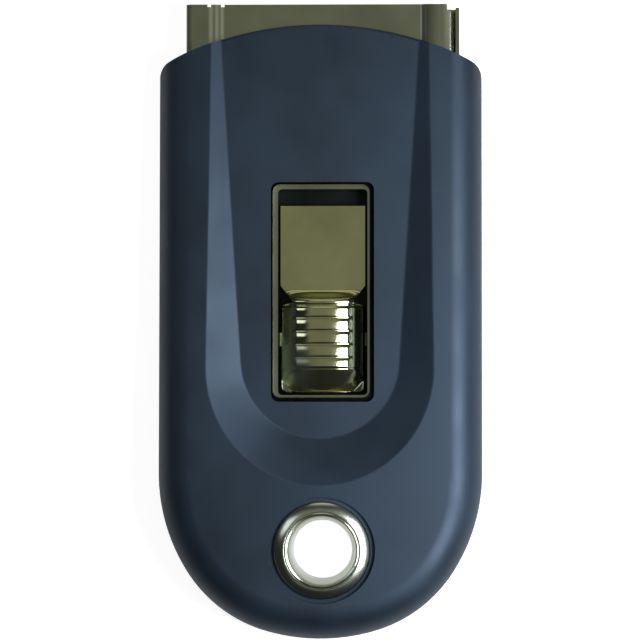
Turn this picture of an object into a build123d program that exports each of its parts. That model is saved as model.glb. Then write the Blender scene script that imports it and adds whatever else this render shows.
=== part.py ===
from build123d import *
import math
import os

# Lying on its back: +X right, +Y towards the blade's mouth, +Z up
overrun = 2.0  # how far a cut runs past what it cuts
fit_gap = 0.1  # round a fixed piece in its hole or pocket
works_offset = 0.4  # the sheath, window and eyelet stand this far right of the outline's middle

# Standard single-edge blade with its folded spine, which the rest is built round
blade_width = 38.5
blade_depth = 19.0
blade_thickness = 0.25
blade_set_back = 4.5  # cutting edge to the mouth, drawn in
blade_bevel = 1.2
blade_notch_width = 1.2
blade_notch_length = 2.0
spine_depth = 4.5
spine_wall = 0.375
spine_end_gap = 0.1
spine_slot_gap = 0.15
spine_fold_gap = 0.2

# Blade carriage
stroke = 14.6
run_gap = 0.15
carriage_sheet = 0.5
blade_side_gap = 1.0  # blade to the carriage's rails
carriage_rear_gap = 2.3  # sheath's rear end to the carriage
carriage_front_gap = 3.7  # carriage's front edge to the cutting edge
rail_height = 2.25
rail_front_gap = 3.0
front_corner_chamfer = 2.0
pip_radius = 0.5
pip_height = 0.5
tab_thickness = 0.5
tab_width = 1.5
tab_gap = 0.15
lance_length = 1.2

# Keeper and its rivets
keeper_sheet = 0.4
keeper_width = 24.0
keeper_bend_radius = 0.35
keeper_foot_length = 4.6
keeper_step_length = 0.8
keeper_lip_gap = 0.1
keeper_window_gap = 0.225  # window's front to the keeper's foot
rivet_radius = 1.1
rivet_head_radius = 1.9
rivet_top_radius = 1.5
rivet_head_height = 0.4
rivet_pitch = 14.0

# Thumb slide
thumb_sheet = 0.5
press_travel = 0.6
press_gap = 0.25  # thumb slide, pressed, to the carriage
thumb_side_gap = 0.4  # to the window's rim
thumb_end_gap = 0.3
stop_gap = 0.3
tongue_void = 2.7  # window's front to the tongue, drawn in
button_height = 4.2  # tongue's underside to the crown under the ribs
button_skirt_height = 0.9
button_crown_radius = 8.0
button_top_half_width = 4.9
button_front_slope = 3.1
button_rear_slope = 3.8
button_rear_wall = 1.6
button_edge_radius = 0.45
notch_depth = 2.1
notch_gap = 0.8  # button's front to the notches
notch_front_length = 2.8
notch_rear_length = 0.6
rib_count = 5
rib_pitch = 2.157
rib_radius = 1.5
rib_flat_count = 16
rib_sink = 1.16
rib_end_slope = 0.8
rib_front_gap = 1.8  # front slope to the first rib's axis
rib_rear_gap = 1.072  # last rib's axis to the rear slope
ear_length = 3.0
ear_reach = 2.5
ear_rear_gap = 7.3  # button's rear end to the ears
lock_slot_gap = 0.25

# Leaf spring and its rivets
leaf_sheet = 0.3
leaf_width = 7.0
leaf_foot_length = 6.0
leaf_rear_gap = 0.8  # to the carriage's rear end
leaf_rise_length = 8.8
leaf_tip_length = 3.2
leaf_bend_radius = 1.0
leaf_touch_gap = 0.05
leaf_notch_gap = 0.3
leaf_notch_height = 0.8
leaf_rivet_radius = 0.7
leaf_rivet_head_radius = 1.3
leaf_rivet_top_radius = 1.0
leaf_rivet_head_height = 0.35
leaf_rivet_pitch = 4.4

# Sheath: two nested channels of steel sheet
sheet = 0.6
slide_height = 2.3  # clear height inside, at the lowered middle
nest_gap = 0.2  # between the two channels' walls
shoulder_width = 5.95  # sheath's side to the lowered middle of the front plate
left_flank_width = 2.2
right_flank_width = 0.6
shoulder_lift = 0.4
bend_radius = 0.6
back_plate_set_back = 0.6
right_wall_drop = 0.2
left_wall_gap = 0.2
fold_nick_width = 0.6
fold_nick_depth = 0.4
corner_relief_width = 1.2
corner_relief_depth = 1.2
sheath_reach = 3.4  # sheath past the middle of the mouth arc

# Window in the front plate, with its upturned rim
window_width = 14.6
window_rear_margin = 10.2  # sheath's rear end to the window
window_corner_radius = 0.7
rim_wall = 0.6
rim_rise = 0.1  # rim over the recess floor
window_gap = 0.5  # plastic to rim

# Sheath's tail strap, which the eyelet passes through
strap_width = 17.0
strap_joggle_length = 2.2
strap_joggle_start = 1.6

# Outline of the two shells, whose round end is three tangent arcs a side
side_wall = 3.7  # sheath to the body's side
side_arc_radius = 29.9
corner_arc_radius = 22.6
side_arc_turn = 33.1  # degrees
corner_arc_turn = 40.7  # degrees
mouth_arc_radius = 53.6
mouth_corner_radius = 3.0

# Thickness of the body, which is a crowned wedge
back_wall = 1.3
front_wall = 1.5
nose_step = 0.9  # recess floor to the crown, at the mouth
wedge_rise = 3.9  # mouth to the round end
crown_radius = 600.0
edge_radius = 5.5
back_edge_chamfer = 0.6
parting_height = 3.3
seam_chamfer = 0.15

# Thumb recess, whose floor is parallel to the sheath
recess_rim_width = 13.4  # body's side to the recess floor at its round end
recess_rear_gap = 7.1  # window's rear to the recess floor's rear end
recess_splay = 3.5  # degrees
recess_flank_angle = 27.0  # degrees from the floor
recess_floor_radius = 1.0
recess_brow_radius = 0.9
lip_bevel = 0.4

# Eyelet
eyelet_bore_radius = 4.8
eyelet_wall = 0.5
eyelet_ring_radius = 7.9
eyelet_back_radius = 6.7
ring_flat_count = 8
curl_flat_count = 3
eyelet_tail_gap = 14.5  # eyelet's axis to the round end
eyelet_sheath_gap = 14.9  # eyelet's axis to the sheath
seat_radius = 8.6
seat_sink = 1.35  # top of the round end to the seat
counterbore_radius = 8.2
counterbore_depth = 1.7
washer_radius = 7.6
washer_thickness = 0.5

# Inside of the rear of the front shell
core_wall = 2.2
core_height = 3.7
core_set_back = 5.5  # sheath's rear end to the core
boss_wall = 2.6
core_rib = 1.4
rear_pin_radius = 1.2
rear_pin_height = 2.4
rear_pin_inset = 6.9  # body's side to the pin's axis
rear_pin_set_back = 9.0  # sheath's rear end to the pin's axis
socket_wall = 1.4
front_pin_radius = 0.8
front_pin_height = 1.0
front_pin_inset = 1.9
front_pin_set_back = 18.0  # mouth arc to the pin's axis

# Widths that follow, from the blade out to the body's sides
carriage_half_width = blade_width / 2 + blade_side_gap + carriage_sheet
inner_wall_x = carriage_half_width + run_gap + sheet / 2
outer_wall_x = inner_wall_x + sheet + nest_gap
sheath_width = 2 * outer_wall_x + sheet
middle_width = sheath_width - 2 * shoulder_width
half_width = sheath_width / 2 + works_offset + side_wall
recess_end_radius = half_width - recess_rim_width
thumb_half_width = window_width / 2 - thumb_side_gap
ear_half_span = thumb_half_width + ear_reach

# Lengths that follow, which add up to the whole one
rib_row = (rib_count - 1) * rib_pitch
button_length = button_front_slope + rib_front_gap + rib_row + rib_rear_gap + button_rear_slope
window_length = thumb_end_gap + button_length + stroke + stop_gap
spine_length = blade_depth + spine_fold_gap + spine_wall
keeper_rear_length = fit_gap + keeper_sheet + keeper_step_length + keeper_foot_length
window_set_back = blade_set_back + spine_length + keeper_rear_length + keeper_window_gap
sheath_length = window_rear_margin + window_length + window_set_back
overall_length = eyelet_tail_gap + eyelet_sheath_gap + sheath_length

# Places along the length
tail_y = -overall_length / 2
mouth_y = overall_length / 2
mouth_arc_y = mouth_y - sheath_reach
sheath_rear_y = mouth_y - sheath_length
eyelet_y = tail_y + eyelet_tail_gap
window_rear_y = sheath_rear_y + window_rear_margin
window_front_y = window_rear_y + window_length
window_y = (window_rear_y + window_front_y) / 2
edge_y = mouth_y - blade_set_back
blade_rear_y = edge_y - blade_depth
spine_rear_y = edge_y - spine_length
spine_front_y = spine_rear_y + spine_depth
keeper_step_y = spine_rear_y - fit_gap - keeper_sheet
carriage_rear_y = sheath_rear_y + carriage_rear_gap
carriage_front_y = edge_y - carriage_front_gap
button_rear_y = window_rear_y + thumb_end_gap
button_front_y = button_rear_y + button_length
tongue_front_y = window_front_y - tongue_void
ear_rear_y = button_rear_y + ear_rear_gap
ear_mid_y = ear_rear_y + ear_length / 2

# Heights
sheath_floor = back_wall + sheet
plate_under = sheath_floor + slide_height
plate_top = plate_under + sheet
shoulder_top = plate_top + shoulder_lift
recess_floor = plate_top + front_wall
nose_thickness = recess_floor + nose_step
tail_thickness = nose_thickness + wedge_rise
seat_height = tail_thickness - seat_sink
carriage_under = sheath_floor + run_gap
carriage_top = carriage_under + carriage_sheet
blade_top = carriage_top + blade_thickness
spine_top = blade_top + spine_wall
thumb_under = carriage_top + press_travel + press_gap
button_top = thumb_under + button_height
crown_axis = button_top - button_crown_radius


def side_profile(section, width):
    """Extrude a section drawn in Y and Z to both sides of the middle."""
    return extrude(Plane.YZ * section, amount=width / 2, both=True)


def cross_section(section, rear, front):
    """Extrude a section drawn in X and Z from one Y to another."""
    plane = Plane(origin=(0, front, 0), x_dir=(1, 0, 0), z_dir=(0, -1, 0))
    return extrude(plane * section, amount=front - rear)


def bent_sheet(points, radius, thickness):
    """Section of a sheet whose middle line runs through points with rounded bends."""
    return trace(FilletPolyline(*points, radius=radius), line_width=thickness)


def block(x_range, y_range, z_range):
    """Box between two X, two Y and two Z values."""
    lows, highs = zip(x_range, y_range, z_range)
    size = [high - low for low, high in zip(lows, highs)]
    return Pos(*lows) * Box(*size, align=(Align.MIN, Align.MIN, Align.MIN))


def post(radius, low, high):
    """Upright cylinder between two heights."""
    return Pos(0, 0, low) * Cylinder(radius, high - low, align=(Align.CENTER, Align.CENTER, Align.MIN))


def outline(front_edges, front_y):
    """Plan of the body: a straight-sided part up to front_y and the round end."""
    first = CenterArc((half_width - side_arc_radius, 0), side_arc_radius, 0, -side_arc_turn)
    second = JernArc(first @ 1, first % 1, corner_arc_radius, -corner_arc_turn)
    turn = side_arc_turn + corner_arc_turn
    end_radius = (second @ 1).X / math.cos(math.radians(turn))
    third = JernArc(second @ 1, second % 1, end_radius, turn - 90)
    side_y = tail_y - (third @ 1).Y
    right = [Pos(0, side_y) * arc for arc in (first, second, third)]
    right.append(Line((half_width, side_y), (half_width, front_y)))
    left = [mirror(edge, about=Plane.YZ) for edge in right]
    return make_face([edge for line in right + left + front_edges for edge in line.edges()])


def body_plan():
    """Plan of the shells, with the convex mouth end."""
    corner_y = mouth_arc_y - mouth_arc_radius + math.sqrt(mouth_arc_radius**2 - half_width**2)
    mouth = ThreePointArc((-half_width, corner_y), (0, mouth_arc_y), (half_width, corner_y))
    face = outline([mouth], corner_y)
    return fillet(face.vertices().group_by(Axis.Y)[-1], mouth_corner_radius)


def body_blank():
    """Both shells as one solid, run out past the mouth: a crowned wedge with rounded edges."""
    front_y = mouth_y + overrun / 2
    plan = outline([Line((-half_width, front_y), (half_width, front_y))], front_y)
    nose = Vector(0, mouth_arc_y, nose_thickness)
    tail = Vector(0, tail_y, tail_thickness)
    along = (nose - tail).normalized()
    upward = Vector(0, -along.Z, along.Y)
    start = tail - upward * crown_radius - along * half_width
    crown = Plane(origin=start, z_dir=along) * Circle(crown_radius)
    wedge = extrude(plan, amount=tail_thickness + overrun) & extrude(crown, amount=2 * overall_length)
    top = wedge.faces().sort_by(Axis.Z)[-1]
    wedge = fillet([edge for edge in top.edges() if edge.center().Y < mouth_arc_y], edge_radius)
    back = wedge.faces().sort_by(Axis.Z)[0]
    return chamfer([edge for edge in back.edges() if edge.center().Y < mouth_arc_y], back_edge_chamfer)


def recess_plan():
    """Plan of the recess's floor, run out past the mouth."""
    splay = math.radians(recess_splay)
    centre_y = window_rear_y - recess_rear_gap + recess_end_radius
    side_x = recess_end_radius * math.cos(splay)
    side_y = centre_y - recess_end_radius * math.sin(splay)
    front_y = mouth_y + overrun
    front_x = side_x + (front_y - side_y) * math.tan(splay)
    return make_face(
        [
            ThreePointArc((side_x, side_y), (0, centre_y - recess_end_radius), (-side_x, side_y)),
            Line((side_x, side_y), (front_x, front_y)),
            Line((-side_x, side_y), (-front_x, front_y)),
            Line((-front_x, front_y), (front_x, front_y)),
        ]
    )


def recess_cutter():
    """Tapered U pocket with a rounded floor edge, open at the mouth."""
    depth = tail_thickness - recess_floor
    cutter = extrude(Pos(0, 0, recess_floor) * recess_plan(), amount=depth, taper=recess_flank_angle - 90)
    floor = cutter.faces().sort_by(Axis.Z)[0]
    return fillet([edge for edge in floor.edges() if edge.center().Y < mouth_y], recess_floor_radius)


def lip_cutter(floor):
    """Bevel of the recess floor's edge at the mouth: a conical ring, as wide as the floor."""
    section = make_face(
        Polyline(
            (mouth_arc_radius - lip_bevel, recess_floor),
            (mouth_arc_radius + lip_bevel, recess_floor),
            (mouth_arc_radius + lip_bevel, recess_floor - 2 * lip_bevel),
            close=True,
        )
    )
    ring = Pos(0, mouth_arc_y - mouth_arc_radius) * revolve(Plane.XZ * section, axis=Axis.Z)
    return ring & extrude(floor, amount=2 * lip_bevel, dir=(0, 0, -1))


def body_with_recess():
    """The blank with the thumb recess cut in, its brow rounded and its lip at the mouth bevelled."""
    blank = body_blank()
    cutter = recess_cutter()
    body = blank - cutter
    brow = [
        edge
        for edge in new_edges(blank, cutter, combined=body)
        if edge.length > recess_end_radius and edge.center().Z > recess_floor + nose_step / 2
    ]
    body = fillet(brow, recess_brow_radius) & extrude(body_plan(), amount=tail_thickness + overrun)
    return body - lip_cutter(cutter.faces().sort_by(Axis.Z)[0])


def plate_path():
    """Middle line of the front plate's section, from the left flange to the right one."""
    middle = plate_under + sheet / 2
    shoulder = middle + shoulder_lift
    left_fold = -middle_width / 2
    right_fold = middle_width / 2
    return [
        (-outer_wall_x, back_wall),
        (-outer_wall_x, shoulder),
        (left_fold - left_flank_width, shoulder),
        (left_fold, middle),
        (right_fold, middle),
        (right_fold + right_flank_width, shoulder),
        (inner_wall_x, shoulder),
        (inner_wall_x, carriage_under),
    ]


def sheath_pocket():
    """Room for the sheath inside the shells."""
    grown = sheet + 2 * fit_gap
    path = plate_path()
    path[-2:] = [(outer_wall_x, path[-2][1]), (outer_wall_x, back_wall)]
    line = FilletPolyline(*path, radius=bend_radius)
    room = make_face(line.edges() + [Line(path[-1], path[0])]) + trace(line, line_width=grown)
    wall_top = shoulder_top - right_wall_drop
    wall_room = Rectangle(grown, wall_top - sheath_floor + 2 * fit_gap)
    wall_room = Pos(outer_wall_x, (sheath_floor + wall_top) / 2) * wall_room
    return cross_section(room + wall_room, sheath_rear_y - fit_gap, mouth_y + overrun)


def strap_plan(clearance):
    """Plan of the tail strap from the sheath to the round end behind the eyelet."""
    half = strap_width / 2 + clearance
    straight = Pos(0, (eyelet_y + sheath_rear_y) / 2) * Rectangle(2 * half, eyelet_sheath_gap)
    return Pos(0, eyelet_y) * Circle(half) + straight


def pin_places():
    """Front and rear locating pins: place, radius and height over the parting plane."""
    places = []
    for side in (-1, 1):
        rear = (side * (half_width - rear_pin_inset), sheath_rear_y - rear_pin_set_back)
        front = (side * (half_width - front_pin_inset), mouth_arc_y - front_pin_set_back)
        places.append((rear, rear_pin_radius, rear_pin_height))
        places.append((front, front_pin_radius, front_pin_height))
    return places


def across(low_y, high_y, low_z, high_z):
    """Box over the whole width between two Y and two Z values."""
    return block((-2 * half_width, 2 * half_width), (low_y, high_y), (low_z, high_z))


def make_front_shell(body):
    """Upper moulding: thumb recess, window, eyelet seat and a cored rear end."""
    above = tail_thickness + overrun
    shell = body & across(tail_y - overrun, mouth_y, parting_height, above)
    shell = chamfer(shell.faces().sort_by(Axis.Z)[0].outer_wire().edges(), seam_chamfer)
    works = Pos(works_offset, 0, 0)
    opening = RectangleRounded(
        window_width + 2 * (rim_wall + window_gap),
        window_length + 2 * (rim_wall + window_gap),
        window_corner_radius + rim_wall,
    )
    shell -= works * Pos(0, window_y, plate_under) * extrude(opening, amount=above)
    shell -= works * sheath_pocket()
    eyelet_place = Pos(works_offset, eyelet_y, 0)
    shell -= eyelet_place * post(eyelet_bore_radius + eyelet_wall + fit_gap, 0, above)
    shell -= eyelet_place * post(seat_radius, seat_height, above)
    core_top = parting_height + core_height
    core_front = sheath_rear_y - core_set_back
    core = Pos(0, 0, parting_height) * extrude(offset(body_plan(), amount=-core_wall), amount=core_height)
    core &= across(tail_y, core_front, 0, core_top)
    core -= eyelet_place * post(eyelet_ring_radius + boss_wall, 0, core_top)
    core -= block((-core_rib / 2, core_rib / 2), (tail_y, core_front), (0, core_top))
    core -= across(eyelet_y - core_rib / 2, eyelet_y + core_rib / 2, 0, core_top)
    for place, radius, height in pin_places():
        core -= Pos(*place, 0) * post(radius + fit_gap + socket_wall, 0, core_top)
    shell -= core
    for place, radius, height in pin_places():
        shell -= Pos(*place, 0) * post(radius + fit_gap, 0, parting_height + height + fit_gap)
    return shell


def make_back_shell(body):
    """Lower moulding: flat back, sheath pocket, strap groove, counterbore and locating pins."""
    shell = body & across(tail_y - overrun, mouth_y, 0, parting_height)
    works = Pos(works_offset, 0, 0)
    shell -= works * sheath_pocket()
    groove = Pos(0, 0, parting_height - sheet) * extrude(strap_plan(fit_gap), amount=sheet)
    ramp_end = sheath_rear_y - strap_joggle_start - strap_joggle_length - sheet
    ramp = Pos(0, 0, back_wall) * extrude(strap_plan(fit_gap), amount=parting_height)
    ramp &= across(ramp_end, mouth_y, 0, parting_height)
    shell -= works * (groove + ramp)
    eyelet_place = Pos(works_offset, eyelet_y, 0)
    shell -= eyelet_place * post(counterbore_radius, 0, counterbore_depth)
    shell -= eyelet_place * post(eyelet_bore_radius + eyelet_wall + fit_gap, 0, parting_height)
    for place, radius, height in pin_places():
        shell += Pos(*place, 0) * post(radius, parting_height - sheet, parting_height + height)
    return shell


def make_sheath_front():
    """Front plate: lowered middle, raised sides, window with an upturned rim, lock slots."""
    plate = cross_section(bent_sheet(plate_path(), bend_radius, sheet), sheath_rear_y, mouth_y)
    rim = RectangleRounded(
        window_width + 2 * rim_wall, window_length + 2 * rim_wall, window_corner_radius + rim_wall
    )
    hole = RectangleRounded(window_width, window_length, window_corner_radius)
    centre = Pos(0, window_y, plate_under)
    plate += centre * extrude(rim, amount=recess_floor + rim_rise - plate_under)
    plate -= Pos(0, 0, -overrun) * centre * extrude(hole, amount=tail_thickness)
    slot_length = ear_length + 2 * lock_slot_gap
    slot_width = ear_half_span - window_width / 2 - rim_wall
    slot = Box(slot_width, slot_length, slide_height)
    slot_x = ear_half_span - slot_width / 2 + lock_slot_gap
    for side in (-1, 1):
        for travel in (0, stroke):
            plate -= Pos(side * slot_x, ear_mid_y + travel, plate_top) * slot
    nick = Box(fold_nick_width, 2 * fold_nick_depth, slide_height)
    left_fold = -middle_width / 2
    for fold_x in (left_fold, left_fold - left_flank_width):
        plate -= Pos(fold_x, mouth_y, plate_top) * nick
    relief_x = inner_wall_x + sheet / 2
    plate -= block(
        (relief_x - corner_relief_width, relief_x + overrun),
        (mouth_y - corner_relief_depth, mouth_y + overrun),
        (0, tail_thickness),
    )
    return plate


def make_sheath_back():
    """Back channel with upturned walls and a joggled strap that the eyelet clamps."""
    floor = back_wall + sheet / 2
    shoulder_under = plate_under + shoulder_lift
    section = bent_sheet(
        [
            (-inner_wall_x, shoulder_under - left_wall_gap),
            (-inner_wall_x, floor),
            (outer_wall_x, floor),
            (outer_wall_x, shoulder_top - right_wall_drop),
        ],
        bend_radius,
        sheet,
    )
    channel = cross_section(section, sheath_rear_y, mouth_y - back_plate_set_back)
    strap_level = parting_height - sheet / 2
    joggle_y = sheath_rear_y - strap_joggle_start
    strap = side_profile(
        bent_sheet(
            [
                (sheath_rear_y + sheet, floor),
                (joggle_y, floor),
                (joggle_y - strap_joggle_length, strap_level),
                (eyelet_y - strap_width, strap_level),
            ],
            bend_radius,
            sheet,
        ),
        sheath_width,
    )
    plan = strap_plan(0) + Pos(0, sheath_rear_y) * Rectangle(strap_width, 2 * sheet)
    strap &= extrude(plan, amount=tail_thickness)
    strap -= Pos(0, eyelet_y, 0) * post(eyelet_bore_radius + eyelet_wall + fit_gap, 0, tail_thickness)
    return channel + strap


def make_eyelet():
    """Tube with a rolled ring over the seat and a smaller curl over the washer, both in narrow flats."""
    bore = eyelet_bore_radius
    wall = eyelet_wall
    ring = (eyelet_ring_radius - bore) / 2
    curl = (eyelet_back_radius - bore) / 2
    low = counterbore_depth - washer_thickness
    section = Pos(bore + wall / 2, (low + seat_height) / 2) * Rectangle(wall, seat_height - low)
    for radius, height, side, flats in (
        (ring, seat_height, 1, ring_flat_count),
        (curl, low, -1, curl_flat_count),
    ):
        half = Pos(0, side * radius / 2) * Rectangle(2 * radius, radius)
        section += Pos(bore + radius, height) * (RegularPolygon(radius, 2 * flats) & half)
    return revolve(Plane.XZ * section, axis=Axis.Z)


def make_eyelet_washer():
    """Flat ring in the counterbore."""
    low = counterbore_depth - washer_thickness
    ring = post(washer_radius, low, counterbore_depth)
    return ring - post(eyelet_bore_radius + eyelet_wall + fit_gap, 0, tail_thickness)


def make_blade_carriage():
    """Pressed plate with folded rails, a slot for the blade's spine, pips and lanced tabs."""
    middle = carriage_under + carriage_sheet / 2
    rail_x = carriage_half_width - carriage_sheet / 2
    rail_top = carriage_under + rail_height
    section = bent_sheet(
        [(-rail_x, rail_top), (-rail_x, middle), (rail_x, middle), (rail_x, rail_top)],
        bend_radius,
        carriage_sheet,
    )
    carriage = cross_section(section, carriage_rear_y, carriage_front_y - rail_front_gap)
    nose = block(
        (-blade_width / 2, blade_width / 2),
        (carriage_front_y - rail_front_gap, carriage_front_y),
        (carriage_under, carriage_top),
    )
    carriage += chamfer(nose.edges().filter_by(Axis.Z).group_by(Axis.Y)[-1], front_corner_chamfer)
    slot_half = blade_width / 2 - spine_end_gap + spine_slot_gap
    carriage -= block(
        (-slot_half, slot_half),
        (spine_rear_y - spine_slot_gap, spine_front_y + spine_slot_gap),
        (carriage_under - overrun, carriage_top),
    )
    for x, y in keeper_rivet_places():
        carriage -= Pos(x, y, 0) * post(rivet_radius, 0, tail_thickness)
    for x, y in leaf_rivet_places():
        carriage -= Pos(x, y, 0) * post(leaf_rivet_radius, 0, tail_thickness)
    pip_x = blade_width / 2 - blade_notch_width + pip_radius + fit_gap
    pip_y = spine_front_y + fit_gap + blade_notch_length / 2
    tab_middle_x = thumb_half_width + ear_reach - tab_width / 2
    tab_offset = ear_length / 2 + tab_gap + tab_thickness / 2
    lance_offset = tab_offset + tab_thickness / 2 + lance_length / 2
    for side in (-1, 1):
        carriage += Pos(side * pip_x, pip_y, 0) * post(pip_radius, carriage_under, carriage_top + pip_height)
        for end in (-1, 1):
            tab_height = thumb_under + thumb_sheet - carriage_top
            tab = Box(tab_width, tab_thickness, carriage_sheet + tab_height)
            carriage += Pos(side * tab_middle_x, ear_mid_y + end * tab_offset, middle + tab_height / 2) * tab
            lance = Box(tab_width, lance_length, 2 * carriage_sheet)
            carriage -= Pos(side * tab_middle_x, ear_mid_y + end * lance_offset, middle) * lance
    return carriage


def make_razor_blade():
    """Single-edge blade: ground edge at the front, a notch in each end beside the spine."""
    middle = carriage_top + blade_thickness / 2
    ground = edge_y - blade_bevel
    section = make_face(
        Polyline(
            (blade_rear_y, carriage_top),
            (ground, carriage_top),
            (edge_y, middle),
            (ground, blade_top),
            (blade_rear_y, blade_top),
            close=True,
        )
    )
    blade = side_profile(section, blade_width)
    notch_rear = spine_front_y + fit_gap
    for side in (-1, 1):
        notch = Box(2 * blade_notch_width, blade_notch_length, 2 * blade_thickness)
        blade -= Pos(side * blade_width / 2, notch_rear + blade_notch_length / 2, middle) * notch
    return blade


def make_blade_spine():
    """Folded strip that stiffens the blade's back edge."""
    low = carriage_top - spine_wall / 2
    high = blade_top + spine_wall / 2
    rear = spine_rear_y + spine_wall / 2
    path = [(spine_front_y, low), (rear, low), (rear, high), (spine_front_y, high)]
    fold = bent_sheet(path, spine_wall * 3 / 4, spine_wall)
    return side_profile(fold, blade_width - 2 * spine_end_gap)


def make_blade_keeper():
    """Stepped clamp: a riveted foot, a step over the spine and a lip in front of it."""
    foot = carriage_top + keeper_sheet / 2
    upper = spine_top + keeper_sheet / 2
    foot_front_y = keeper_step_y - keeper_step_length
    lip_y = spine_front_y + keeper_lip_gap + keeper_sheet / 2
    path = [
        (foot_front_y - keeper_foot_length, foot),
        (foot_front_y, foot),
        (keeper_step_y, upper),
        (lip_y, upper),
        (lip_y, blade_top),
    ]
    keeper = side_profile(bent_sheet(path, keeper_bend_radius, keeper_sheet), keeper_width)
    for x, y in keeper_rivet_places():
        keeper -= Pos(x, y, 0) * post(rivet_radius, 0, tail_thickness)
    return keeper


def keeper_rivet_places():
    """Axes of the two rivets in the keeper's foot."""
    y = keeper_step_y - keeper_step_length - keeper_foot_length / 2
    return [(side * rivet_pitch / 2, y) for side in (-1, 1)]


def leaf_rivet_places():
    """Axes of the two rivets in the leaf spring's foot."""
    y = carriage_rear_y + leaf_rear_gap + leaf_foot_length / 2
    return [(side * leaf_rivet_pitch / 2, y) for side in (-1, 1)]


def make_rivets(places, shank_radius, head_sizes, under_head):
    """Rivets with tapered heads as separate solids, whose tails are flush with the carriage's underside."""
    head_radius, head_top_radius, head_height = head_sizes
    head = Pos(0, 0, under_head + head_height / 2) * Cone(head_radius, head_top_radius, head_height)
    rivet = head + post(shank_radius, carriage_under, under_head)
    return Compound([Pos(x, y, 0) * rivet for x, y in places])


def crown_height(inset, x):
    """Height of the button's crown, or of its underside, at a distance from the middle."""
    return crown_axis + math.sqrt((button_crown_radius - inset) ** 2 - x**2)


def button_block(inset):
    """The raised button as the overlap of its side profile and its crowned cross-section."""
    top = button_top - inset
    low = thumb_under - overrun * (inset > 0)
    front = button_front_y - inset
    rear = button_rear_y + inset
    rear_top = thumb_under + button_rear_wall
    profile = make_face(
        Polyline(
            (rear, low),
            (front, low),
            (front, thumb_under + thumb_sheet - inset),
            (front - button_front_slope, top),
            (rear + button_rear_slope, top),
            (rear, rear_top),
            close=True,
        )
    )
    half = thumb_half_width - inset
    shoulder = thumb_under + button_skirt_height
    half_top = button_top_half_width - inset
    crown_edge = crown_height(inset, half_top)
    sides = Polyline(
        (half_top, crown_edge),
        (half, shoulder),
        (half, low),
        (-half, low),
        (-half, shoulder),
        (-half_top, crown_edge),
    )
    crown = ThreePointArc((-half_top, crown_edge), (0, top), (half_top, crown_edge))
    section = make_face(sides.edges() + [crown])
    return side_profile(profile, sheath_width) & cross_section(section, tail_y, mouth_y)


def make_ribs():
    """Ribs bent over the button's crown, in narrow flats, with sloping ends."""
    crown_edge = crown_height(0, button_top_half_width)
    rib_end = button_top_half_width - rib_end_slope
    rib_top = button_top + rib_radius
    clip = make_face(
        Polyline(
            (-button_top_half_width, thumb_under),
            (-button_top_half_width, crown_edge),
            (-rib_end, rib_top),
            (rib_end, rib_top),
            (button_top_half_width, crown_edge),
            (button_top_half_width, thumb_under),
            close=True,
        )
    )
    clip = cross_section(clip, button_rear_y, button_front_y)
    bar = Pos(button_crown_radius - rib_sink, 0) * RegularPolygon(rib_radius, rib_flat_count)
    bow = revolve(Plane.ZY * bar, axis=Axis.Y)
    first_y = button_front_y - button_front_slope - rib_front_gap
    return [Pos(0, first_y - index * rib_pitch, crown_axis) * bow & clip for index in range(rib_count)]


def make_thumb_slide():
    """One pressing: flat tongue, V notches, hollow crowned button with five ribs, and two ears below."""
    outer = button_block(0)
    sloped = outer.edges().filter_by(lambda edge: edge.bounding_box().max.Z > thumb_under + thumb_sheet * 2)
    thumb = fillet(sloped, button_edge_radius)
    for rib in make_ribs():
        thumb += rib
    thumb -= button_block(thumb_sheet)
    tongue_top = thumb_under + thumb_sheet
    thumb += block(
        (-thumb_half_width, thumb_half_width),
        (button_front_y - thumb_sheet, tongue_front_y),
        (thumb_under, tongue_top),
    )
    ears = block(
        (-ear_half_span, ear_half_span), (ear_rear_y, ear_rear_y + ear_length), (thumb_under, tongue_top)
    )
    inner_half_width = thumb_half_width - thumb_sheet
    thumb += ears - block((-inner_half_width, inner_half_width), (tail_y, mouth_y), (0, tail_thickness))
    notch_y = button_front_y - notch_gap
    for side in (-1, 1):
        notch = make_face(
            Polyline(
                (side * (thumb_half_width + fit_gap), notch_y),
                (side * (thumb_half_width - notch_depth), notch_y - notch_front_length),
                (side * (thumb_half_width + fit_gap), notch_y - notch_front_length - notch_rear_length),
                close=True,
            )
        )
        thumb -= extrude(notch, amount=tail_thickness)
    leaf_half = leaf_width / 2 + leaf_notch_gap
    thumb -= block(
        (-leaf_half, leaf_half),
        (button_rear_y - overrun, button_rear_y + 2 * thumb_sheet),
        (0, thumb_under + leaf_notch_height),
    )
    return thumb


def make_lock_spring():
    """Leaf riveted to the carriage, rising under the button's crown, which its edges touch."""
    foot = carriage_top + leaf_sheet / 2
    touch = crown_height(thumb_sheet, leaf_width / 2) - leaf_touch_gap - leaf_sheet / 2
    rear = carriage_rear_y + leaf_rear_gap
    rise = rear + leaf_foot_length
    path = [
        (rear, foot),
        (rise, foot),
        (rise + leaf_rise_length, touch),
        (rise + leaf_rise_length + leaf_tip_length, touch),
    ]
    leaf = side_profile(bent_sheet(path, leaf_bend_radius, leaf_sheet), leaf_width)
    for x, y in leaf_rivet_places():
        leaf -= Pos(x, y, 0) * post(leaf_rivet_radius, 0, tail_thickness)
    return leaf


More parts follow.
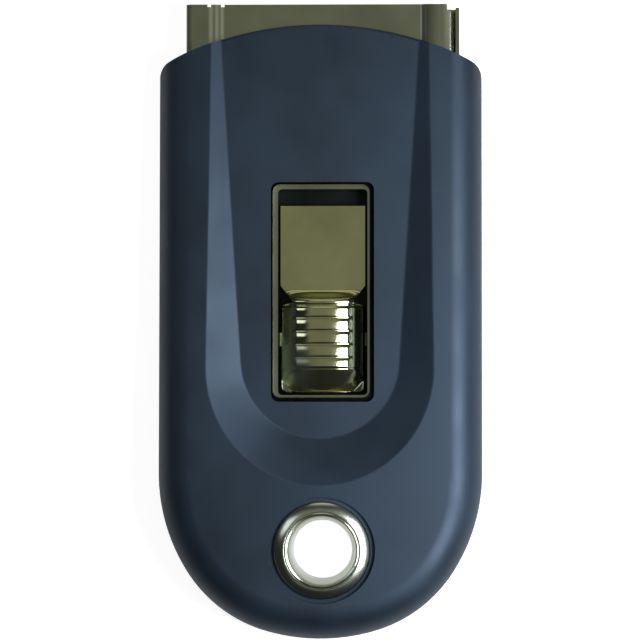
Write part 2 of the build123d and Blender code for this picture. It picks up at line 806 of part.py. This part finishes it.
def main():
    """Build each piece and write it under its node's name."""
    os.makedirs("parts", exist_ok=True)
    works = Pos(works_offset, 0, 0)
    body = body_with_recess()
    pieces = {
        "front_shell": make_front_shell(body),
        "back_shell": make_back_shell(body),
        "sheath_front": works * make_sheath_front(),
        "sheath_back": works * make_sheath_back(),
        "eyelet": works * Pos(0, eyelet_y, 0) * make_eyelet(),
        "eyelet_washer": works * Pos(0, eyelet_y, 0) * make_eyelet_washer(),
        "blade_carriage": works * make_blade_carriage(),
        "razor_blade": works * make_razor_blade(),
        "blade_spine": works * make_blade_spine(),
        "blade_keeper": works * make_blade_keeper(),
        "keeper_rivets": works
        * make_rivets(
            keeper_rivet_places(),
            rivet_radius,
            (rivet_head_radius, rivet_top_radius, rivet_head_height),
            carriage_top + keeper_sheet,
        ),
        "thumb_slide": works * make_thumb_slide(),
        "lock_spring": works * make_lock_spring(),
        "spring_rivets": works
        * make_rivets(
            leaf_rivet_places(),
            leaf_rivet_radius,
            (leaf_rivet_head_radius, leaf_rivet_top_radius, leaf_rivet_head_height),
            carriage_top + leaf_sheet,
        ),
    }
    for name, shape in pieces.items():
        export_step(shape, f"parts/{name}.step")
    print(f"stroke {stroke:.2f} mm, press {press_travel:.2f} mm")


main()
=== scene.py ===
import math

import bmesh
import bpy
from mathutils import Matrix, Vector


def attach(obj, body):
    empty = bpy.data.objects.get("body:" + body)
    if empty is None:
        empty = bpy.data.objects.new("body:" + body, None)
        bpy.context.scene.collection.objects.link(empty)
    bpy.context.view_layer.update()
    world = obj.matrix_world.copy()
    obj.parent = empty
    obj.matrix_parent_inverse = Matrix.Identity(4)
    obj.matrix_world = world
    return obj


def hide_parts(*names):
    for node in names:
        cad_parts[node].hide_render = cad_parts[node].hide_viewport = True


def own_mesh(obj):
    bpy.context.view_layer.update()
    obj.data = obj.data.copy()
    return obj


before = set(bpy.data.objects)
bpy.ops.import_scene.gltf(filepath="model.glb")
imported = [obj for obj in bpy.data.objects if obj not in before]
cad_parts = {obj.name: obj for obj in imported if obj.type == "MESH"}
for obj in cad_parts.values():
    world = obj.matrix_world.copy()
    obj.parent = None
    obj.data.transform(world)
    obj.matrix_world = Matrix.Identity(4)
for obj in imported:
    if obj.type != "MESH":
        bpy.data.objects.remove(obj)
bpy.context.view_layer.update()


# Camera: the scraper lies on its back and is seen from above, from a little right of its middle,
# so that the left wall of the eyelet's bore shows more than the right one.
MM = 0.001
photo_size = 640
photo_scale = 6.155  # pixels a millimetre on the front of the body
camera_distance = 600 * MM
camera_place = Vector((16 * MM, -12 * MM, camera_distance))
camera_target = Vector((0.02 * MM, 0.1 * MM, 7 * MM))
camera_data = bpy.data.cameras.new("camera")
camera_data.sensor_width = 36
frame_width = photo_size / photo_scale * MM
camera_data.lens = camera_data.sensor_width * (camera_place - camera_target).length / frame_width
camera_data.clip_start = 10 * MM
camera_data.clip_end = 10
camera = bpy.data.objects.new("camera", camera_data)
bpy.context.scene.collection.objects.link(camera)
look = (camera_target - camera_place).normalized()
right = look.cross(Vector((0, 1, 0))).normalized()
camera.matrix_world = Matrix((right, right.cross(look), -look)).transposed().to_4x4()
camera.location = camera_place
bpy.context.scene.camera = camera
bpy.context.scene.view_settings.view_transform = "Standard"


# Front shell: the upper half of the handle, moulded from dark slate-blue plastic with a fine satin
# grain. It holds the sheath from above, and its sunken thumb recess carries the window.
def link_nodes(tree, *links):
    """Join sockets given as (node, output, node, input)."""
    for start, output, end, socket in links:
        tree.links.new(start.outputs[output], end.inputs[socket])


def new_material(name):
    """Empty node material with its output and shader."""
    material = bpy.data.materials.new(name)
    material.use_nodes = True
    material.node_tree.nodes.clear()
    output = material.node_tree.nodes.new("ShaderNodeOutputMaterial")
    shader = material.node_tree.nodes.new("ShaderNodeBsdfPrincipled")
    material.node_tree.links.new(shader.outputs["BSDF"], output.inputs["Surface"])
    return material, shader


def new_group(name, inputs, outputs):
    """Empty shader node group with named inputs and outputs, given as (label, socket type)."""
    group = bpy.data.node_groups.new(name, "ShaderNodeTree")
    for way, sockets in (("INPUT", inputs), ("OUTPUT", outputs)):
        for label, kind in sockets:
            group.interface.new_socket(label, in_out=way, socket_type=kind)
    return group, group.nodes.new("NodeGroupInput"), group.nodes.new("NodeGroupOutput")


def use_group(tree, group, **values):
    """Place a node group and set its inputs; a name's underscores stand for spaces."""
    node = tree.nodes.new("ShaderNodeGroup")
    node.node_tree = group
    for label, value in values.items():
        node.inputs[label.replace("_", " ")].default_value = value
    return node


def math_node(tree, operation, one, two, clamp=False):
    """One step of arithmetic; each operand is a socket or a number."""
    node = tree.nodes.new("ShaderNodeMath")
    node.operation = operation
    node.use_clamp = clamp
    for socket, value in zip(node.inputs, (one, two)):
        if isinstance(value, (int, float)):
            socket.default_value = value
        else:
            tree.links.new(value, socket)
    return node.outputs[0]


def add_range(tree, source, low, high, to_low=0, to_high=1):
    """Map a value from one range to another."""
    spread = tree.nodes.new("ShaderNodeMapRange")
    for label, value in zip(("From Min", "From Max", "To Min", "To Max"), (low, high, to_low, to_high)):
        spread.inputs[label].default_value = value
    tree.links.new(source, spread.inputs["Value"])
    return spread.outputs["Result"]


# Clouds: a slow unevenness of colour and gloss, as moulding and plating leave.
clouds, entry, leave = new_group(
    "clouds",
    [("Colour", "NodeSocketColor"), ("Size", "NodeSocketFloat"), ("Tone Spread", "NodeSocketFloat"),
     ("Roughness", "NodeSocketFloat"), ("Roughness Spread", "NodeSocketFloat")],
    [("Colour", "NodeSocketColor"), ("Roughness", "NodeSocketFloat")],
)
place = clouds.nodes.new("ShaderNodeTexCoord")
drift = clouds.nodes.new("ShaderNodeTexNoise")
drift.inputs["Detail"].default_value = 3
link_nodes(clouds, (place, "Object", drift, "Vector"), (entry, "Size", drift, "Scale"))
swing = add_range(clouds, drift.outputs["Fac"], 0.3, 0.7, -1, 1)
brightness = math_node(clouds, "MULTIPLY_ADD", swing, entry.outputs["Tone Spread"])
brightness.node.inputs[2].default_value = 1
tone = clouds.nodes.new("ShaderNodeVectorMath")
tone.operation = "SCALE"
link_nodes(clouds, (entry, "Colour", tone, "Vector"), (tone, "Vector", leave, "Colour"))
clouds.links.new(brightness, tone.inputs["Scale"])
gloss = math_node(clouds, "MULTIPLY_ADD", swing, entry.outputs["Roughness Spread"])
clouds.links.new(entry.outputs["Roughness"], gloss.node.inputs[2])
clouds.links.new(gloss, leave.inputs["Roughness"])

# Marks: fine grain, or lines where it is stretched, as spark erosion, rolling and drawing leave.
marks, entry, leave = new_group(
    "marks",
    [("Size", "NodeSocketFloat"), ("Stretch", "NodeSocketVector"), ("Depth", "NodeSocketFloat")],
    [("Height", "NodeSocketFloat")],
)
place = marks.nodes.new("ShaderNodeTexCoord")
mapping = marks.nodes.new("ShaderNodeMapping")
grain = marks.nodes.new("ShaderNodeTexNoise")
grain.inputs["Detail"].default_value = 3
grain.inputs["Roughness"].default_value = 0.6
link_nodes(
    marks,
    (place, "Object", mapping, "Vector"),
    (entry, "Stretch", mapping, "Scale"),
    (mapping, "Vector", grain, "Vector"),
    (entry, "Size", grain, "Scale"),
)
relief = math_node(marks, "MULTIPLY", grain.outputs["Fac"], entry.outputs["Depth"])
marks.links.new(relief, leave.inputs["Height"])


def surface(name, colour, roughness, tone_spread, cloud_size, mark_size, stretch, depth, metallic=1.0):
    """Material with clouds in its colour and gloss and fine marks in its relief."""
    material, shader = new_material(name)
    tree = material.node_tree
    tone = use_group(
        tree, clouds, Colour=(*colour, 1), Size=cloud_size, Tone_Spread=tone_spread,
        Roughness=roughness, Roughness_Spread=0.1 * roughness,
    )
    relief = use_group(tree, marks, Size=mark_size, Stretch=stretch, Depth=depth)
    bump = tree.nodes.new("ShaderNodeBump")
    bump.inputs["Distance"].default_value = 0.02 * MM
    link_nodes(
        tree,
        (tone, "Colour", shader, "Base Color"),
        (tone, "Roughness", shader, "Roughness"),
        (relief, "Height", bump, "Height"),
        (bump, "Normal", shader, "Normal"),
    )
    shader.inputs["Metallic"].default_value = metallic
    return material, shader, tone


def welded_skin(node, sharp_angle=28):
    """Copy of a CAD node as one welded mesh with smooth shading up to its sharp edges."""
    mesh = bpy.data.meshes.new(node + "_skin")
    shape = bmesh.new()
    shape.from_mesh(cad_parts[node].data)
    bmesh.ops.remove_doubles(shape, verts=shape.verts, dist=0.002 * MM)
    for face in shape.faces:
        face.smooth = True
    for edge in shape.edges:
        edge.smooth = edge.calc_face_angle(0) < math.radians(sharp_angle)
    shape.to_mesh(mesh)
    shape.free()
    piece = bpy.data.objects.new(node + "_skin", mesh)
    bpy.context.scene.collection.objects.link(piece)
    weighted = piece.modifiers.new("weighted normals", "WEIGHTED_NORMAL")
    weighted.keep_sharp = True
    weighted.mode = "FACE_AREA"
    weighted.weight = 50
    return piece


def new_piece(name, shape, sharp_angle=38):
    """Object from a bmesh, shaded smoothly up to its sharp and its open edges."""
    for face in shape.faces:
        face.smooth = True
    for edge in shape.edges:
        edge.smooth = not edge.is_boundary and edge.calc_face_angle(0) < math.radians(sharp_angle)
    mesh = bpy.data.meshes.new(name)
    shape.to_mesh(mesh)
    shape.free()
    piece = bpy.data.objects.new(name, mesh)
    bpy.context.scene.collection.objects.link(piece)
    return piece


def finish_piece(piece, node, body, material):
    """Give a piece its finish, body and slot, and hide the CAD node that it stands for."""
    piece.data.materials.clear()
    piece.data.materials.append(material)
    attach(piece, body)
    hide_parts(node)


plastic, plastic_shader, _ = surface(
    "slate_plastic", (0.0056, 0.0105, 0.0175), 0.54, 0.3, 90, 1500, (1, 1, 1), 0.3, metallic=0.0
)
plastic_shader.inputs["Specular Tint"].default_value = (0.62, 0.80, 1, 1)
plastic_shader.inputs["Specular IOR Level"].default_value = 0.72
finish_piece(welded_skin("front_shell"), "front_shell", "handle", plastic)


# Back shell: the lower half of the same moulded plastic, flat underneath so that the scraper lies
# still, with the counterbore where the eyelet is rolled over its washer.
finish_piece(welded_skin("back_shell"), "back_shell", "handle", plastic)


# Front plate of the sheath: a shallow channel pressed from nickel-plated steel strip, clamped
# between the shells. Its edge is drawn up round the window and bears on the recess's floor.
plate_metal, plate_shader, plate_tone = surface(
    "nickel_strip", (0.46, 0.47, 0.35), 0.2, 0.1, 130, 900, (1, 0.06, 1), 0.15
)


def object_place(tree):
    """Place on the object: its texture coordinate node, and its X and Y."""
    place = tree.nodes.new("ShaderNodeTexCoord")
    axes = tree.nodes.new("ShaderNodeSeparateXYZ")
    link_nodes(tree, (place, "Object", axes, "Vector"))
    return place, axes.outputs["X"], axes.outputs["Y"]


def distance_to(tree, value, centre):
    """How far a value is from a centre, either way."""
    return math_node(tree, "ABSOLUTE", math_node(tree, "SUBTRACT", value, centre), 0)


def mix_colour(tree, first, second, share):
    """Colour that goes from the first, a socket, to the second, a value, with a share."""
    mix = tree.nodes.new("ShaderNodeMixRGB")
    mix.inputs["Color2"].default_value = (*second, 1)
    tree.links.new(first, mix.inputs["Color1"])
    tree.links.new(share, mix.inputs["Fac"])
    return mix.outputs["Color"]


def roughen(tree, tone, shader, where, amount):
    """Add to a surface's roughness where a mask says."""
    rougher = math_node(tree, "MULTIPLY_ADD", where, amount)
    tree.links.new(tone.outputs["Roughness"], rougher.node.inputs[2])
    tree.links.new(rougher, shader.inputs["Roughness"])


tree = plate_metal.node_tree
_, plate_x, plate_y = object_place(tree)

# Painted highlights at the mouth: bright lines along the fold flanks that face the lamp. Their X and half
# width in mm.
painted_fold_highlight = 0
for line, half in ((-17.9, 0.5), (-16.9, 0.4), (-16.0, 0.45), (20.9, 0.9)):
    off_line = distance_to(tree, plate_x, line * MM)
    painted_fold_highlight = math_node(tree, "ADD", add_range(tree, off_line, half * MM, 0.1 * half * MM), painted_fold_highlight)
painted_fold_highlight = math_node(tree, "MULTIPLY", painted_fold_highlight, add_range(tree, plate_y, 40 * MM, 47 * MM))
painted_fold_highlight = math_node(tree, "MULTIPLY", painted_fold_highlight, 0.8, clamp=True)

# Painted shade in the folds at the mouth, where they lie in shadow: it fades out to the right of the step.
step_side = add_range(tree, plate_x, 16.2 * MM, 16.6 * MM)
right_fold = math_node(tree, "MULTIPLY", step_side, add_range(tree, plate_x, 19.4 * MM, 17.2 * MM))
left_fold = add_range(tree, plate_x, -20.9 * MM, -21.2 * MM)
painted_fold_shade = math_node(tree, "MAXIMUM", right_fold, left_fold)
painted_fold_shade = math_node(tree, "MULTIPLY", painted_fold_shade, add_range(tree, plate_y, 38 * MM, 41 * MM))
painted_fold_shade = math_node(tree, "MULTIPLY", painted_fold_shade, 0.85)
crease = add_range(tree, distance_to(tree, plate_x, 16.85 * MM), 0.55 * MM, 0.4 * MM)
roughen(tree, plate_tone, plate_shader, math_node(tree, "MAXIMUM", crease, left_fold), 0.3)

plate_colour = mix_colour(tree, plate_tone.outputs["Colour"], (0.95, 0.95, 0.78), painted_fold_highlight)
plate_colour = mix_colour(tree, plate_colour, (0.10, 0.11, 0.075), painted_fold_shade)
tree.links.new(plate_colour, plate_shader.inputs["Base Color"])

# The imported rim's upright edge gives way to the rim that is modelled here.
plate_top, plate_under, rim_top = 4.85, 4.3, 6.3
skin = welded_skin("sheath_front")
for vert in skin.data.vertices:
    if vert.co.z > rim_top * MM:
        vert.co.z = plate_top * MM
finish_piece(skin, "sheath_front", "handle", plate_metal)

# Window rim: its outer wall leans out from the lip down to the foot, where it meets the plate.
lip_middle, lip_half, lip_corner = Vector((0.18, 4.86, rim_top)), Vector((7.88, 17.34, 1)), 1.2
foot_middle, foot_half = Vector((0.4, 4.7, plate_top)), Vector((8.39, 17.89, 1))
lip_width, lip_slope = 0.45, 0.145
shape = bmesh.new()
bmesh.ops.create_grid(shape, x_segments=1, y_segments=1, size=1)
bmesh.ops.scale(shape, vec=lip_half * MM, verts=shape.verts)
bmesh.ops.translate(shape, vec=lip_middle * MM, verts=shape.verts)
bmesh.ops.bevel(
    shape,
    geom=shape.verts[:],
    affect="VERTICES",
    offset=lip_corner * MM,
    segments=6,
    profile=0.5,
    material=-1,
)
inside = next(iter(shape.faces))
outer_edge = list(inside.edges)
bmesh.ops.inset_region(shape, faces=[inside], thickness=lip_width * MM, depth=-lip_slope * MM)
inner_edge = list(inside.edges)
bmesh.ops.delete(shape, geom=[inside], context="FACES_ONLY")
for edges, foot in ((outer_edge, plate_top), (inner_edge, plate_under)):
    for vert in bmesh.ops.extrude_edge_only(shape, edges=edges)["geom"]:
        if isinstance(vert, bmesh.types.BMVert):
            if edges is outer_edge:
                for axis in (0, 1):
                    reach = (vert.co[axis] - lip_middle[axis] * MM) / lip_half[axis]
                    vert.co[axis] = foot_middle[axis] * MM + reach * foot_half[axis]
            vert.co.z = foot * MM
bmesh.ops.recalc_face_normals(shape, faces=shape.faces)
if sum(face.normal.z for face in shape.faces) < 0:
    bmesh.ops.reverse_faces(shape, faces=shape.faces)
rim = new_piece("window_rim", shape, 50)
finish_piece(rim, "sheath_front", "handle", plate_metal)


# Back channel of the sheath: the same strip, with higher walls that nest outside the front plate's
# right wall and inside its left one. The carriage runs on it.
finish_piece(welded_skin("sheath_back"), "sheath_back", "handle", plate_metal)


# Eyelet: one bright plated tube, drawn into a trumpet at the front, with a bead, a crease and a
# sloping flange rolled down on the plastic seat. Its lower end is curled over the washer.
def turned_piece(name, profile, axis, steps):
    """Piece spun about an upright axis from a closed profile of (radius, height) points."""
    shape = bmesh.new()
    points = [shape.verts.new((axis[0] + radius * MM, axis[1], height * MM)) for radius, height in profile]
    outline = [shape.edges.new(pair) for pair in zip(points, points[1:] + points[:1])]
    bmesh.ops.spin(
        shape,
        geom=points + outline,
        cent=(*axis, 0),
        axis=(0, 0, 1),
        angle=math.tau,
        steps=steps,
        use_merge=True,
    )
    bmesh.ops.remove_doubles(shape, verts=shape.verts, dist=0.001 * MM)
    bmesh.ops.recalc_face_normals(shape, faces=shape.faces)
    return new_piece(name, shape)


eyelet_metal, _, _ = surface("bright_nickel", (0.62, 0.64, 0.55), 0.22, 0.1, 130, 900, (1, 1, 1), 0.05)
eyelet_axis = (0.4 * MM, -37.2 * MM)
flange = [(7.9, 9.75), (7.9, 9.98), (7.8, 10.25), (7.62, 10.42), (6.55, 10.96), (6.36, 11.0), (6.27, 10.9)]
bead = [(6.23, 10.84), (6.18, 10.96), (6.05, 11.12), (5.85, 11.2), (5.65, 11.12)]
trumpet = [(5.47, 10.8), (5.32, 10.3), (5.18, 9.6), (5.05, 8.7), (4.93, 7.7), (4.84, 6.6), (4.8, 5.4)]
bore = [(4.8, 1.25)]
curl = [(4.82, 0.95), (4.95, 0.62), (5.25, 0.4), (5.75, 0.38), (6.3, 0.45), (6.6, 0.8), (6.7, 1.2)]
tube = [(5.3, 1.2), (5.3, 7.6), (5.5, 9.2), (5.6, 9.75)]
profile = flange + bead + trumpet + bore + curl + tube
eyelet = turned_piece("eyelet_rolled", profile, eyelet_axis, 144)
finish_piece(eyelet, "eyelet", "handle", eyelet_metal)


# Eyelet washer: a flat stamped ring with broken edges, in the counterbore of the back shell. The
# eyelet's lower end is curled over it, so that it closes the shells without cutting the plastic.
washer_inside = [(5.45, 1.2), (5.4, 1.25), (5.4, 1.65), (5.45, 1.7)]
washer_outside = [(7.5, 1.7), (7.6, 1.62), (7.6, 1.28), (7.5, 1.2)]
eyelet_washer = turned_piece("eyelet_washer_ring", washer_inside + washer_outside, eyelet_axis, 96)
finish_piece(eyelet_washer, "eyelet_washer", "handle", eyelet_metal)


# Blade carriage: a dull plated pressing that slides in the sheath, with the blade clamped on its
# front and the leaf spring riveted under the thumb slide. Its near-black colour is partly a dark
# finish and partly painted shade, which makes the gap ahead of the tongue read as deep shadow.
carriage_metal, _, _ = surface("dark_strip_and_painted_shade", (0.016, 0.02, 0.018), 0.4, 0.15, 130, 900, (1, 0.06, 1), 0.2)
finish_piece(welded_skin("blade_carriage"), "blade_carriage", "carriage", carriage_metal)


# Razor blade: a standard single-edge blade of hard steel, ground along its length to the edge and
# held by its spine under the keeper.
blade_metal, _, _ = surface("ground_blade", (0.58, 0.58, 0.60), 0.2, 0.1, 130, 1600, (0.05, 1, 1), 0.15)
finish_piece(welded_skin("razor_blade"), "razor_blade", "carriage", blade_metal)


# Blade spine: a strip of mild steel folded and crimped over the blade's back, with the marks of
# rolling along it. The keeper's step hooks over it.
spine_metal, _, _ = surface("rolled_spine", (0.5, 0.5, 0.49), 0.32, 0.12, 130, 900, (0.06, 1, 1), 0.2)
finish_piece(welded_skin("blade_spine"), "blade_spine", "carriage", spine_metal)


# Blade keeper: a stepped bar of the same dull strip as the carriage, riveted down so that its step
# keeps the blade's spine on the carriage. It shares the carriage's near-black colour, which is
# partly painted shade.
finish_piece(welded_skin("blade_keeper"), "blade_keeper", "carriage", carriage_metal)


# Keeper rivets: two plated steel rivets with flat round heads, closed under the carriage, which
# hold the keeper.
rivet_metal, _, _ = surface("rivet_plating", (0.45, 0.45, 0.43), 0.3, 0.1, 260, 1600, (1, 1, 1), 0.15)
finish_piece(welded_skin("keeper_rivets"), "keeper_rivets", "carriage", rivet_metal)


# Lock spring: a blued leaf of spring steel, bent up in the middle, which lifts the thumb slide so
# that its ears rest under the front plate. It flattens as the thumb slide is pressed.
spring_metal, _, _ = surface("blued_spring", (0.16, 0.17, 0.20), 0.3, 0.15, 180, 900, (1, 0.06, 1), 0.15)
leaf = welded_skin("lock_spring")
finish_piece(leaf, "lock_spring", "carriage", spring_metal)
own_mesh(leaf)


# Spring rivets: two small rivets of the same kind, which fasten the leaf spring's foot to the
# carriage.
finish_piece(welded_skin("spring_rivets"), "spring_rivets", "carriage", rivet_metal)


# Thumb slide: one bright pressing. Its flat tongue narrows at two V notches, ramps up to a barrel
# shaped button with five shallow ribs, and falls off in a rear slope with rounded corners.
# Sizes in mm, from the slide's own middle line.
thumb_x = 0.4
thumb_low, tongue_top, edge_top, button_top = 3.4, 3.9, 4.2, 7.6
tongue_front, notch_start, notch_waist, notch_end, button_rear = 18.8, 5.8, 3.0, 2.5, -11.8
thumb_half, waist_half, corner_round, edge_round = 6.9, 4.8, 1.3, 0.4
crown_round, side_slope, rear_slope, blend_width = 10.5, 1.1, 0.6, 0.4
crest_front, crest_rear, ramp_length = 3.1, -7.9, 2.1
rib_lines = [1.55, -0.6, -2.75, -4.9, -7.05]
rib_round, rib_sink, rib_half, rib_end = 2.4, 2.144, 4.8, 0.6
grooves = [(2.48, 0.26), (-7.8, 0.16)]  # place and depth, before the first rib and behind the last
groove_width = 0.25
leaf_notch_half, leaf_notch_top = 3.8, 4.05
ear_middle, ear_size = Vector((7.5, -3.0, 3.65)), Vector((2.2, 2.2, 0.5))


def smooth_least(one, two, width):
    """The lesser of two values, rounded where they cross."""
    near = max(width - abs(one - two), 0) / width
    return min(one, two) - near * near * width / 4


def ease(share):
    """A share from 0 to 1 with a soft start and end."""
    return share * share * (3 - 2 * share)


def thumb_half_width(y):
    """Half width of the pressing's plan, with the notches and the round rear corners."""
    if y >= notch_start or y <= notch_end:
        inset = max(corner_round - (y - button_rear), 0)
        return thumb_half - corner_round + math.sqrt(corner_round**2 - inset**2)
    if y > notch_waist:
        share = (notch_start - y) / (notch_start - notch_waist)
        return thumb_half + share * (waist_half - thumb_half)
    return waist_half + (notch_waist - y) / (notch_waist - notch_end) * (thumb_half - waist_half)


def thumb_height(x, y):
    """Height of the pressing's top: crown, side slopes, rear slope, ribs and front ramp."""
    crown = button_top - crown_round + math.sqrt(crown_round**2 - x * x)
    crown -= rear_slope * max(crest_rear - y, 0)
    side = edge_top + side_slope * (thumb_half - abs(x))
    height = max(smooth_least(crown, side, blend_width), edge_top)
    line = min(rib_lines, key=lambda value: abs(value - y))
    bulge = math.sqrt(max(rib_round**2 - (y - line) ** 2, 0)) - rib_sink
    height += max(bulge, 0) * ease(min(max((rib_half - abs(x)) / rib_end, 0), 1))
    for groove, depth in grooves:
        height -= depth * math.exp(-(((y - groove) / groove_width) ** 2))
    if y > crest_front:
        height += (tongue_top - height) * ease(min((y - crest_front) / ramp_length, 1))
    elif y < notch_end:
        gap = thumb_half_width(y) - abs(x)
        drop = max(edge_round - min(gap, y - button_rear), 0)
        height -= edge_round - math.sqrt(max(edge_round**2 - drop**2, 0))
    return height


# Rows of the grid: few on the flat tongue, a row each 0.1 mm on the ramp and the button.
rows = [tongue_front, 15.0, 11.0, 8.5, 7.5]
rows += [7.2 - 0.1 * step for step in range(47)]
rows += [notch_end - 0.09 * step for step in range(158)]
rows += [button_rear + 0.02, button_rear]
columns = 72
shape = bmesh.new()
bmesh.ops.create_grid(shape, x_segments=columns, y_segments=len(rows) - 1, size=1)
for vert in shape.verts:
    y = rows[round((1 - vert.co.y) / 2 * (len(rows) - 1))]
    x = 0.35 * math.sin(vert.co.x * math.pi / 2) + 0.65 * vert.co.x  # closer columns at the sides
    x *= thumb_half_width(y)
    vert.co = (x, y, thumb_height(x, y))

# Skirt round the button, with the notch in its rear wall that the leaf spring passes through.
skirt = [
    edge
    for edge in shape.edges
    if edge.is_boundary and max(vert.co.y for vert in edge.verts) <= notch_waist + 0.001
]
for vert in bmesh.ops.extrude_edge_only(shape, edges=skirt)["geom"]:
    if isinstance(vert, bmesh.types.BMVert):
        over_leaf = abs(vert.co.x) < leaf_notch_half and vert.co.y < button_rear + 0.01
        vert.co.z = leaf_notch_top if over_leaf else thumb_low
for vert in shape.verts:
    vert.co = ((vert.co.x + thumb_x) * MM, vert.co.y * MM, vert.co.z * MM)
bmesh.ops.recalc_face_normals(shape, faces=shape.faces)
if max(shape.faces, key=lambda face: face.calc_center_median().z).normal.z < 0:
    bmesh.ops.reverse_faces(shape, faces=shape.faces)
for side in (-1, 1):
    middle = Vector((side * ear_middle.x + thumb_x, ear_middle.y, ear_middle.z))
    for vert in bmesh.ops.create_cube(shape, size=1)["verts"]:
        vert.co = (middle + ear_size * vert.co) * MM
thumb = new_piece("thumb_pressing", shape, 60)
sheet = thumb.modifiers.new("sheet", "SOLIDIFY")
sheet.thickness = 0.5 * MM
sheet.offset = -1
thumb_metal, thumb_shader, thumb_tone = surface(
    "bright_pressing", (0.70, 0.70, 0.41), 0.13, 0.1, 130, 900, (0.06, 1, 1), 0.04
)
tree = thumb_metal.node_tree
place, thumb_across, thumb_along = object_place(tree)
off_middle = math_node(tree, "SUBTRACT", thumb_across, thumb_x * MM)
aside = math_node(tree, "ABSOLUTE", off_middle, 0)
behind = add_range(tree, thumb_along, 1.9 * MM, 2.5 * MM, 1, 0)

# Painted shade where the metal was drawn down the sides: darker colour on slopes that face away from the
# light. Darker and rougher round the left rear corner.
painted_side_shade = math_node(tree, "MULTIPLY", add_range(tree, aside, 5.0 * MM, 5.7 * MM), behind)
apart = tree.nodes.new("ShaderNodeVectorMath")
apart.operation = "DISTANCE"
apart.inputs[1].default_value = (-4.6 * MM, -7.4 * MM, 6.0 * MM)
link_nodes(tree, (place, "Object", apart, 0))
left_rear_patch = add_range(tree, apart.outputs["Value"], 5.2 * MM, 2.4 * MM)
side_shade_and_rear_patch = math_node(tree, "MAXIMUM", painted_side_shade, left_rear_patch)
roughen(tree, thumb_tone, thumb_shader, left_rear_patch, 0.25)

# Painted shade on the ears and down the right side: near-black colour where they lie in shadow.
right_side_shade = add_range(tree, off_middle, 4.7 * MM, 5.2 * MM, 0, 0.7)
right_side_shade = math_node(tree, "MULTIPLY", right_side_shade, behind)
painted_shade = math_node(tree, "MAXIMUM", add_range(tree, aside, 7.0 * MM, 7.1 * MM), right_side_shade)
thumb_colour = mix_colour(tree, thumb_tone.outputs["Colour"], (0.32, 0.34, 0.26), side_shade_and_rear_patch)
thumb_colour = mix_colour(tree, thumb_colour, (0.04, 0.045, 0.04), painted_shade)
tree.links.new(thumb_colour, thumb_shader.inputs["Base Color"])
finish_piece(thumb, "thumb_slide", "thumb", thumb_metal)


# Floor: a plain white table that shows white and keeps the scraper's shadow. It lies a hair below
# the flat back, so that the two faces don't coincide.
floor_size, floor_height = 1.5, -0.03 * MM
floor_data = bpy.data.meshes.new("floor")
shape = bmesh.new()
bmesh.ops.create_grid(
    shape,
    x_segments=1,
    y_segments=1,
    size=floor_size,
    matrix=Matrix.Translation((0, 0, floor_height)),
)
shape.to_mesh(floor_data)
shape.free()
floor = bpy.data.objects.new("floor", floor_data)
bpy.context.scene.collection.objects.link(floor)
floor_material, floor_shader = new_material("white_table")
floor_shader.inputs["Base Color"].default_value = (0.55, 0.55, 0.55, 1)
floor_shader.inputs["Roughness"].default_value = 0.9
floor_shader.inputs["Emission Color"].default_value = (1, 1, 1, 1)
tree = floor_material.node_tree
rays = tree.nodes.new("ShaderNodeLightPath")
mirrored = math_node(tree, "MULTIPLY", rays.outputs["Is Glossy Ray"], 0.5)
shown = math_node(tree, "MAXIMUM", rays.outputs["Is Camera Ray"], mirrored)
shown = math_node(tree, "MAXIMUM", shown, rays.outputs["Is Transmission Ray"])
glow = math_node(tree, "MULTIPLY", shown, 0.9)
tree.links.new(glow, floor_shader.inputs["Emission Strength"])
floor_data.materials.append(floor_material)


# Light: one soft lamp on the right, a weak one on the left, and a dim ceiling that the flat metal
# mirrors, from overhead to the far wall.
def soft_lamp(name, place, size, power, colour):
    """Rectangular area lamp aimed at the scraper's middle, its second side along the scraper."""
    data = bpy.data.lights.new(name, "AREA")
    data.shape = "RECTANGLE"
    data.size, data.size_y = size
    data.energy = power
    data.color = colour
    lamp = bpy.data.objects.new(name, data)
    bpy.context.scene.collection.objects.link(lamp)
    look = -Vector(place).normalized()
    right = look.cross(Vector((0, 1, 0))).normalized()
    lamp.matrix_world = Matrix((right, right.cross(look), -look)).transposed().to_4x4()
    lamp.location = place
    lamp.visible_camera = False


soft_lamp("key_lamp", (0.085, -0.018, 0.11), (0.05, 0.12), 0.325, (0.85, 0.91, 1.0))
soft_lamp("side_lamp", (-0.19, 0.09, 0.19), (0.11, 0.10), 0.05, (0.85, 0.92, 1.0))
world = bpy.data.worlds.new("studio")
world.use_nodes = True
sky = world.node_tree
towards = sky.nodes.new("ShaderNodeTexCoord")
split = sky.nodes.new("ShaderNodeSeparateXYZ")
link_nodes(sky, (towards, "Generated", split, "Vector"))
across = math_node(sky, "ABSOLUTE", split.outputs["X"], 0)
along = split.outputs["Y"]

# The ceiling over the scraper, and the brighter top of the wall beyond its mouth.
not_behind, not_beyond = add_range(sky, along, -0.62, -0.50), add_range(sky, along, 0.76, 0.66)
overhead = math_node(sky, "MULTIPLY", not_behind, not_beyond)
overhead = math_node(sky, "MULTIPLY", add_range(sky, across, 0.52, 0.40), overhead)
beyond = add_range(sky, along, 0.86, 0.91)
far_wall = math_node(sky, "MULTIPLY", add_range(sky, across, 0.30, 0.22), beyond)
dark_room = sky.nodes.new("ShaderNodeRGB").outputs["Color"]
dark_room.default_value = (0.018, 0.02, 0.018, 1)
room = mix_colour(sky, dark_room, (0.18, 0.188, 0.15), overhead)
room = mix_colour(sky, room, (0.6, 0.615, 0.54), far_wall)
sky.links.new(room, sky.nodes["Background"].inputs["Color"])
bpy.context.scene.world = world
